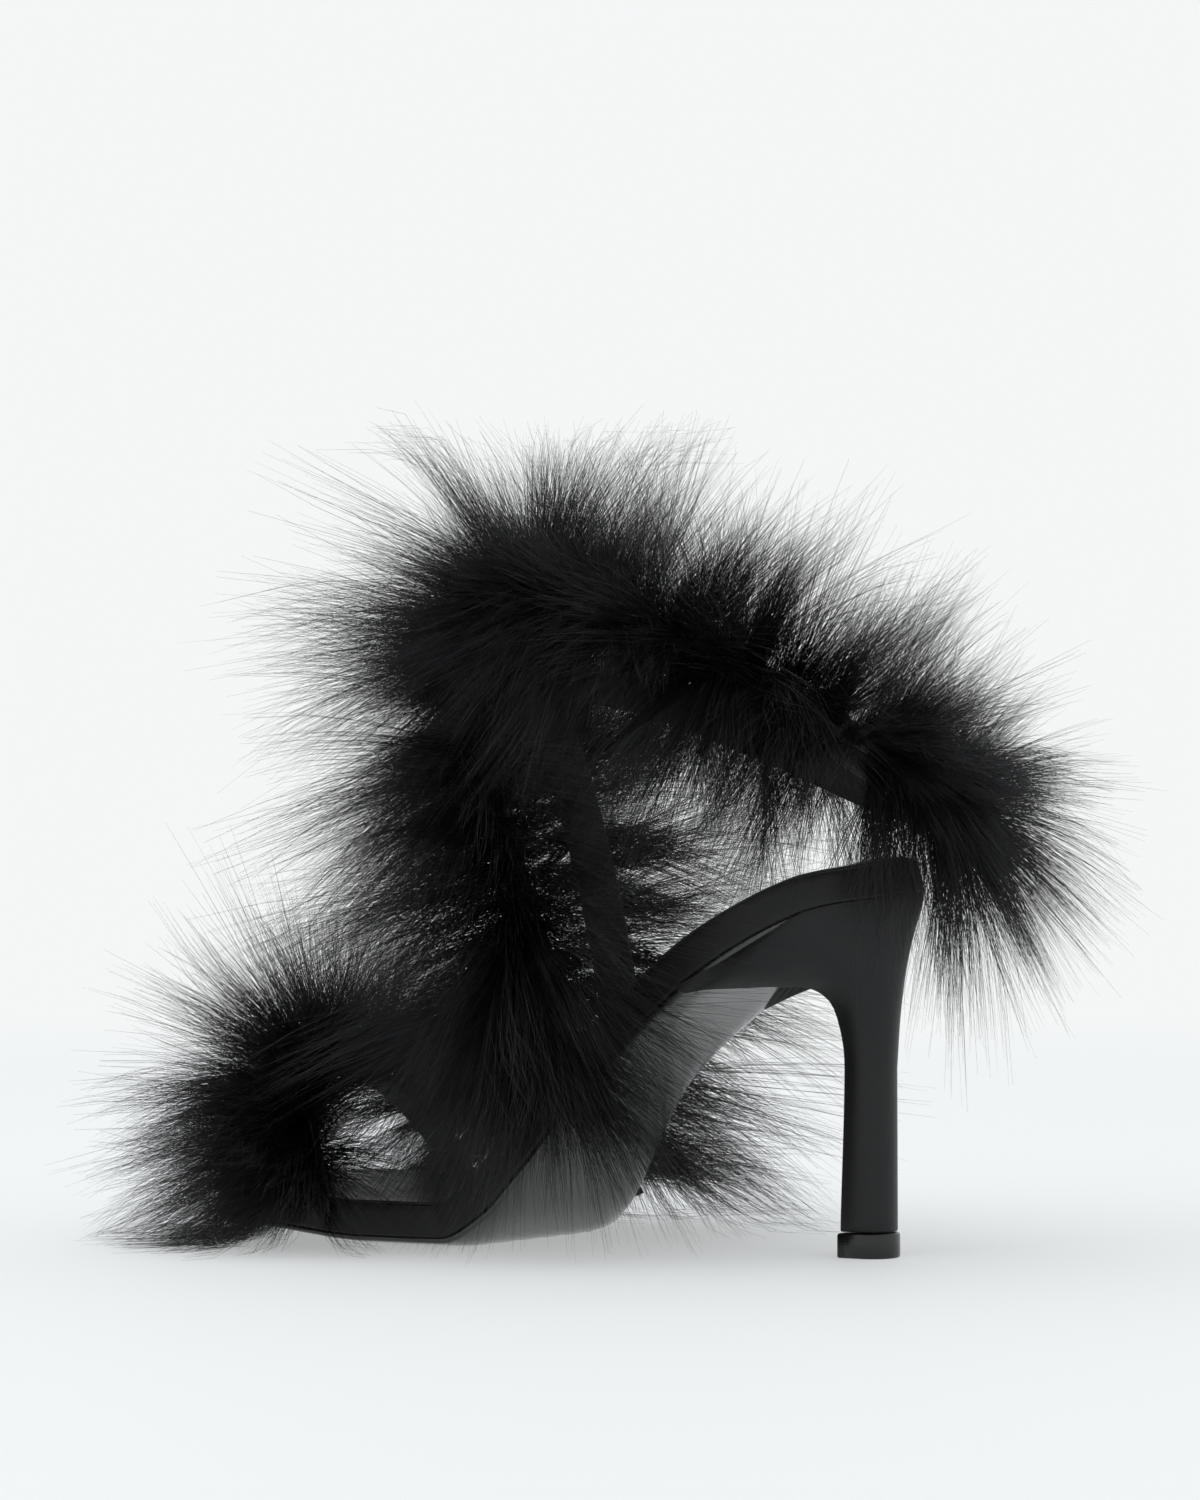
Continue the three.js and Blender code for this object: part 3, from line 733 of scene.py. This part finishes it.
tip_stops = [(0, 0.5), (0.15, 0.15), (0.5, 0), (3, 0), (6.1, 0), (6.6, 0.2), (TIP_HEIGHT, 0.6)]
tube("heel_tip_block", [tip_ring(*stop) for stop in tip_stops], tip_plastic, ["heel_tip"])

# ---------------------------------------------------------------- straps

STRAPS = [
    ("toe", toe_route, TOE_STRAP_WIDTH),
    ("inner", inner_route, STRAP_WIDTH),
    ("outer", outer_route, STRAP_WIDTH),
]
strap_top = STRAP_LOW + STRAP_THICKNESS
for name, route, width in STRAPS:
    lining = f"{name}_strap_lining"
    strap = f"{name}_strap"
    band(f"{name}_ribbon_lining", route, width, 0, LINING_THICKNESS, ribbon, [lining], "ribbon")
    band(f"{name}_satin_strap", route, width, STRAP_LOW, strap_top, satin, [strap], "satin", puff=0.25)
elastic_span = (back_route, ELASTIC_WIDTH, 0, strap_top)
band("back_elastic_band", *elastic_span, stretch, ["back_elastic"], "stretch", 40, 0.14, 0.86)

# ---------------------------------------------------------------- plumes

PLUME_INPUTS = [
    ("Tufts", "NodeSocketInt"),
    ("Strands", "NodeSocketInt"),
    ("Bends", "NodeSocketInt"),
    ("Length", "NodeSocketFloat"),
    ("Shortest", "NodeSocketFloat"),
    ("Spread", "NodeSocketFloat"),
    ("Tilt", "NodeSocketFloat"),
    ("Comb", "NodeSocketFloat"),
    ("Droop", "NodeSocketFloat"),
    ("Fan", "NodeSocketFloat"),
    ("Thickness", "NodeSocketFloat"),
    ("Lowest", "NodeSocketVector"),
    ("Highest", "NodeSocketVector"),
    ("Seed", "NodeSocketInt"),
    ("Finish", "NodeSocketMaterial"),
]


def plume_tree():
    """Tufts of fine strands that stand off a line, whose points hold the ways it faces and runs."""
    tree = bpy.data.node_groups.new("plumes", "GeometryNodeTree")
    ports = {}
    tree.interface.new_socket(name="Line", in_out="INPUT", socket_type="NodeSocketGeometry")
    for name, kind in PLUME_INPUTS:
        ports[name] = tree.interface.new_socket(name=name, in_out="INPUT", socket_type=kind).identifier
    tree.interface.new_socket(name="Plumes", in_out="OUTPUT", socket_type="NodeSocketGeometry")
    work = Bench(tree)
    given = tree.nodes.new("NodeGroupInput")
    size = {name: Wire(work, given.outputs[name]) for name, _ in PLUME_INPUTS}

    def read(name, kind="FLOAT_VECTOR"):
        return work.node("GeometryNodeInputNamedAttribute", {"data_type": kind}, {"Name": name})

    def store(shape, name, kind, value, domain="POINT"):
        values = {"Geometry": shape, "Name": name, "Value": value}
        return work.node("GeometryNodeStoreNamedAttribute", {"data_type": kind, "domain": domain}, values)

    def chance(key, seed, low=0.0, high=1.0):
        values = {"Min": low, "Max": high, "ID": key, "Seed": size["Seed"] + seed}
        return work.node("FunctionNodeRandomValue", {"data_type": "FLOAT"}, values)

    def scatter(key, seed):
        values = {"Min": (-1, -1, -1), "Max": (1, 1, 1), "ID": key, "Seed": size["Seed"] + seed}
        return work.node("FunctionNodeRandomValue", {"data_type": "FLOAT_VECTOR"}, values)

    def unit(vector):
        return work.node("ShaderNodeVectorMath", {"operation": "NORMALIZE"}, {0: vector})

    def dot(a, b):
        return work.node("ShaderNodeVectorMath", {"operation": "DOT_PRODUCT"}, {0: a, 1: b}, "Value")

    def least(value, low):
        return work.node("ShaderNodeMath", {"operation": "MAXIMUM"}, {0: value, 1: low})

    index = work.node("GeometryNodeInputIndex")
    line = work.node("GeometryNodeMeshToCurve", None, {"Mesh": Wire(work, given.outputs["Line"])})
    tufts = work.node("GeometryNodeCurveToPoints", {"mode": "COUNT"}, {"Curve": line, "Count": size["Tufts"]})
    tufts = store(tufts, "tuft", "INT", index)
    tufts = store(tufts, "root", "FLOAT_VECTOR", work.node("GeometryNodeInputPosition"))
    copies = {"Geometry": tufts, "Amount": size["Strands"]}
    strands = work.node("GeometryNodeDuplicateElements", {"domain": "POINT"}, copies)
    strands = store(strands, "strand", "INT", index)
    straight = work.node("GeometryNodeCurvePrimitiveLine", {"mode": "POINTS"}, {"End": (0, 0, 0.01)})
    hair = {"Curve": straight, "Count": size["Bends"] + 1}
    hair = work.node("GeometryNodeResampleCurve", None, hair)
    planted = work.node("GeometryNodeInstanceOnPoints", None, {"Points": strands, "Instance": hair})
    planted = work.node("GeometryNodeRealizeInstances", None, {"Geometry": planted})

    tuft = read("tuft", "INT")
    strand = read("strand", "INT")
    facing = unit(read("facing"))
    run = unit(read("run"))
    wide = work.node("ShaderNodeVectorMath", {"operation": "CROSS_PRODUCT"}, {0: run, 1: facing})
    t = work.node("GeometryNodeSplineParameter", output="Factor")
    angle = chance(tuft, 1, -1, 1) * size["Spread"] + size["Tilt"]
    cosine = work.node("ShaderNodeMath", {"operation": "COSINE"}, {0: angle})
    sine = work.node("ShaderNodeMath", {"operation": "SINE"}, {0: angle})
    outward = facing * cosine + wide * sine
    lean = chance(tuft, 2, -0.4, 0.4) + size["Comb"]
    way = unit(outward + run * lean)
    growth = size["Shortest"] + (1 - size["Shortest"]) * chance(tuft, 3) ** 0.7
    reach = size["Length"] * growth * chance(strand, 4, 0.68, 1)
    fan = scatter(strand, 5) * size["Fan"]
    bend = scatter(tuft, 6) * 0.22 + scatter(strand, 7) * 0.06
    down_way = work.node("ShaderNodeCombineXYZ", None, {2: size["Droop"] * -1})
    start = (
        read("root")
        + outward * 0.001
        + run * chance(tuft, 8, -0.003, 0.003)
        + scatter(strand, 9) * 0.0014
    )
    path = way * t + fan * (t - t * t * 0.4) + (bend + down_way) * (t * t)
    spot = start + path * reach
    # Strands that point at the foot are spread over a depth of their own behind the strap's face.
    behind = least(-1 * chance(strand, 13, 0.001, 0.024) - dot(spot - read("root"), facing), 0)
    spot = spot + facing * behind
    # No strand leaves the room round the sandal, and each stops at a slightly different wall.
    trim = chance(strand, 10, 0, 0.012)
    spot = spot.maths("MINIMUM", spot, size["Highest"] - (1, 1, 1) * trim)
    spot = spot.maths("MAXIMUM", spot, size["Lowest"] + (1, 1, 0.25) * trim)
    grown = work.node("GeometryNodeSetPosition", None, {"Geometry": planted, "Position": spot})
    grown = store(grown, "tipward", "FLOAT", t)
    taper = size["Thickness"] * chance(strand, 11, 0.7, 1.2) * (1 - t**1.4 * 0.8)

    three_sided = {"Resolution": 3, "Radius": 1.0}
    section = work.node("GeometryNodeCurvePrimitiveCircle", {"mode": "RADIUS"}, three_sided)
    section = store(section, "round", "FLOAT", work.node("GeometryNodeSplineParameter", output="Factor"))
    skin = {"Curve": grown, "Profile Curve": section, "Scale": taper, "Fill Caps": True}
    tubes = work.node("GeometryNodeCurveToMesh", None, skin)
    lane = (chance(strand, 12) * LANES).floor()
    shelf = (lane + read("round", "FLOAT") * 0.8 + 0.1) * (1 / LANES)
    chart = work.node("ShaderNodeCombineXYZ", None, {0: read("tipward", "FLOAT"), 1: shelf})
    tubes = store(tubes, "OFBake", "FLOAT2", chart, "CORNER")
    tubes = work.node("GeometryNodeRealizeInstances", None, {"Geometry": tubes})
    tubes = work.node("GeometryNodeSetMaterial", None, {"Geometry": tubes, "Material": size["Finish"]})
    out = tree.nodes.new("NodeGroupOutput")
    tree.links.new(tubes.socket, out.inputs[0])
    return tree, ports


LINE_STEPS = 60
plume_group, plume_ports = plume_tree()


def grow_plumes(name, nodes, route, start, end, **sizes):
    """Plumes along a stretch of a strap's route, made a plain mesh."""
    frames = frames_of(route, LINE_STEPS, start, end)
    line = bpy.data.meshes.new(name + "_line")
    places = [(place + facing * PLUME_ROOT) * MM for place, facing, run, wide in frames]
    line.from_pydata(places, [(i, i + 1) for i in range(len(places) - 1)], [])
    for key, column in (("facing", 1), ("run", 2)):
        ways = line.attributes.new(key, "FLOAT_VECTOR", "POINT")
        ways.data.foreach_set("vector", [c for f in frames for c in f[column]])
    grower = bpy.data.objects.new(name + "_grower", line)
    bpy.context.scene.collection.objects.link(grower)
    modifier = grower.modifiers.new("plumes", "NODES")
    modifier.node_group = plume_group
    for key, value in {**PLUME_SIZES, **sizes}.items():
        modifier[plume_ports[key]] = value
    grown = bpy.data.meshes.new_from_object(grower.evaluated_get(bpy.context.evaluated_depsgraph_get()))
    bpy.data.objects.remove(grower)
    grown.name = name
    keep = {"OFBake", "position", "material_index", "sharp_face"}
    for spare in [a.name for a in grown.attributes if not a.name.startswith(".") and a.name not in keep]:
        grown.attributes.remove(grown.attributes[spare])
    for face in grown.polygons:
        face.use_smooth = True
    piece = bpy.data.objects.new(name, grown)
    bpy.context.scene.collection.objects.link(piece)
    return place_piece(piece, nodes)


# The wisps may stand this share of a side, and this many metres, proud of the solid boas.
SHARE_ROOM = 0.03
FLAT_ROOM = 0.0085
FLOOR_ROOM = 0.0006
room = [SHARE_ROOM * (high - low) + FLAT_ROOM for low, high in zip(*cad_box)]
plume_low = (cad_box[0][0] - room[0], cad_box[0][1] - room[1], FLOOR_ROOM)
plume_high = tuple(high + spare for high, spare in zip(cad_box[1], room))
PLUME_SIZES = {
    "Tufts": 253, "Strands": 30, "Bends": 4, "Length": 0.064, "Shortest": 0.32, "Spread": 1.75,
    "Tilt": 0.0, "Comb": 0.0, "Droop": 0.35, "Fan": 0.22, "Thickness": 0.00009,
    "Lowest": plume_low, "Highest": plume_high, "Seed": 0, "Finish": down,
}
# Each row: piece, the solid boa it stands for, route, stretch of the route, sizes of its own.
BOAS = [
    ("crossing_plumes", ["crossing_boa"], outer_route, 0.38, 0.62,
     {"Seed": 100, "Tufts": 225, "Length": 0.086, "Shortest": 0.42, "Droop": 0.2}),
    ("inner_upright_plumes", ["inner_upright_boa"], inner_route, 0.14, 0.49,
     {"Seed": 200, "Length": 0.08, "Shortest": 0.4, "Spread": 1.9, "Tilt": 0.2, "Comb": -0.1, "Droop": 0.22}),
    ("outer_upright_plumes", ["outer_upright_boa"], outer_route, 0.06, 0.44,
     {"Seed": 300, "Tufts": 245, "Length": 0.08, "Comb": -0.1, "Droop": 0.22}),
    ("inner_ankle_plumes", ["inner_ankle_boa"], outer_route, 0.5, 0.93,
     {"Seed": 400, "Tufts": 240, "Length": 0.066, "Spread": 1.2, "Tilt": -0.75, "Droop": 0.12}),
    ("inner_ankle_drape", [], outer_route, 0.5, 0.86,
     {"Seed": 450, "Length": 0.058, "Shortest": 0.4, "Spread": 1.1, "Tilt": 0.7, "Droop": 0.22}),
    ("outer_ankle_plumes", ["outer_ankle_boa"], inner_route, 0.5, 0.93,
     {"Seed": 500, "Tufts": 240, "Droop": 0.15, "Length": 0.07}),
    ("back_plumes", ["back_boa"], back_boa_route, 0, 1, {"Seed": 600, "Tufts": 200, "Length": 0.053}),
    ("toe_plumes", ["toe_boa"], toe_route, 0.14, 0.88,
     {"Seed": 700, "Length": 0.068, "Tilt": -0.15, "Droop": 0.1}),
    ("inner_toe_drape", [], toe_route, 0.1, 0.42,
     {"Seed": 750, "Tufts": 200, "Length": 0.062, "Shortest": 0.4, "Tilt": -0.45, "Droop": 0.28}),
    ("inner_waist_plumes", [], inner_route, 0.01, 0.22,
     {"Seed": 800, "Tufts": 200, "Length": 0.058, "Comb": -0.35, "Droop": 0.45, "Tilt": -0.05}),
    ("inner_ankle_stems", [], outer_route, 0.58, 0.74,
     {"Seed": 850, "Tufts": 12, "Strands": 7, "Bends": 7, "Length": 0.058, "Fan": 0.3, "Spread": 0.8,
      "Tilt": 0.5, "Droop": 0.7, "Thickness": 0.00026, "Finish": quill}),
    ("inner_upright_quill", [], inner_route, 0.34, 0.4,
     {"Seed": 870, "Tufts": 3, "Strands": 16, "Bends": 7, "Length": 0.05, "Fan": 0.1, "Spread": 0.3,
      "Comb": -0.8, "Droop": 0.4, "Thickness": 0.0002, "Finish": quill}),
]
for name, nodes, route, start, end, sizes in BOAS:
    grow_plumes(name, nodes, route, start, end, **sizes)

# ---------------------------------------------------------------- floor, light and camera


def stage_finish(name):
    """Pale paper that catches shadows near the sandal and fades to an even light further off."""
    matt = {"Base Color": (0.89, 0.905, 0.91, 1), "Roughness": 0.65, "Specular IOR Level": 0.15}
    paper = Finish(name, matt)
    glow = paper.node("ShaderNodeEmission", None, {"Color": (0.905, 0.925, 0.925, 1), "Strength": 1.0})
    spot = {axis: paper.node("ShaderNodeSeparateXYZ", None, {0: paper.place}, axis) for axis in "XYZ"}
    away = (spot["X"] * spot["X"] + (spot["Y"] + 0.08) ** 2 + spot["Z"] * spot["Z"]) ** 0.5
    fade = {"Value": away, 1: 0.2, 2: 2.0, 3: 0.4}
    far = paper.node("ShaderNodeMapRange", {"interpolation_type": "SMOOTHSTEP"}, fade)
    ends = {"Fac": far, 1: Wire(paper, paper.shader.outputs[0]), 2: glow}
    blend = paper.node("ShaderNodeMixShader", None, ends)
    paper.tree.links.new(blend.socket, paper.tree.nodes["Material Output"].inputs["Surface"])
    return paper.material


def sweep():
    """A paper sweep: a floor that turns up into a wall all round."""
    rings = [(0.5, 0), (1.5, 0), (3, 0), (4.2, 0.15), (5, 0.8), (5.2, 2), (5.2, 4)]
    count = 64
    points = [(0, 0, 0)]
    for radius, height in rings:
        for k in range(count):
            angle = 2 * math.pi * k / count
            points.append((radius * math.cos(angle), radius * math.sin(angle), height))
    faces = [(0, 1 + k, 1 + (k + 1) % count) for k in range(count)]
    for r in range(len(rings) - 1):
        for k in range(count):
            a = 1 + r * count + k
            b = 1 + r * count + (k + 1) % count
            faces.append((a, a + count, b + count, b))
    mesh = bpy.data.meshes.new("paper_sweep")
    mesh.from_pydata(points, [], faces)
    for face in mesh.polygons:
        face.use_smooth = True
    mesh.materials.append(stage_finish("paper"))
    paper = bpy.data.objects.new("paper_sweep", mesh)
    bpy.context.scene.collection.objects.link(paper)


sweep()

SKY = (0.94, 0.97, 1, 1)
SKY_STRENGTH = 0.88
world = bpy.data.worlds.new("studio")
world.use_nodes = True
world.node_tree.nodes["Background"].inputs["Color"].default_value = SKY
world.node_tree.nodes["Background"].inputs["Strength"].default_value = SKY_STRENGTH
bpy.context.scene.world = world


def softbox(name, place, target, width, height, power):
    light = bpy.data.lights.new(name, "AREA")
    light.shape = "RECTANGLE"
    light.size = width
    light.size_y = height
    light.energy = power
    lamp = bpy.data.objects.new(name, light)
    lamp.location = place
    lamp.rotation_euler = (Vector(target) - Vector(place)).to_track_quat("-Z", "Y").to_euler()
    bpy.context.scene.collection.objects.link(lamp)


softbox("top_softbox", (0.1, -0.1, 1.3), (0, -0.08, 0), 1.4, 1.4, 2.8)
softbox("side_softbox", (0.9, -0.9, 0.9), (0, -0.08, 0.08), 0.8, 0.8, 1.8)

CAMERA_LENS = 84.2
CAMERA_SENSOR = 36
CAMERA_PLACE = (0.8919, 0.3648, 0.0986)
CAMERA_PITCH = math.radians(92.36)
CAMERA_TURN = math.radians(116.71)
camera_data = bpy.data.cameras.new("camera")
camera_data.lens = CAMERA_LENS
camera_data.sensor_width = CAMERA_SENSOR
camera = bpy.data.objects.new("camera", camera_data)
camera.location = CAMERA_PLACE
camera.rotation_euler = (CAMERA_PITCH, 0, CAMERA_TURN)
bpy.context.scene.collection.objects.link(camera)
bpy.context.scene.camera = camera
bpy.context.scene.view_settings.view_transform = "Standard"
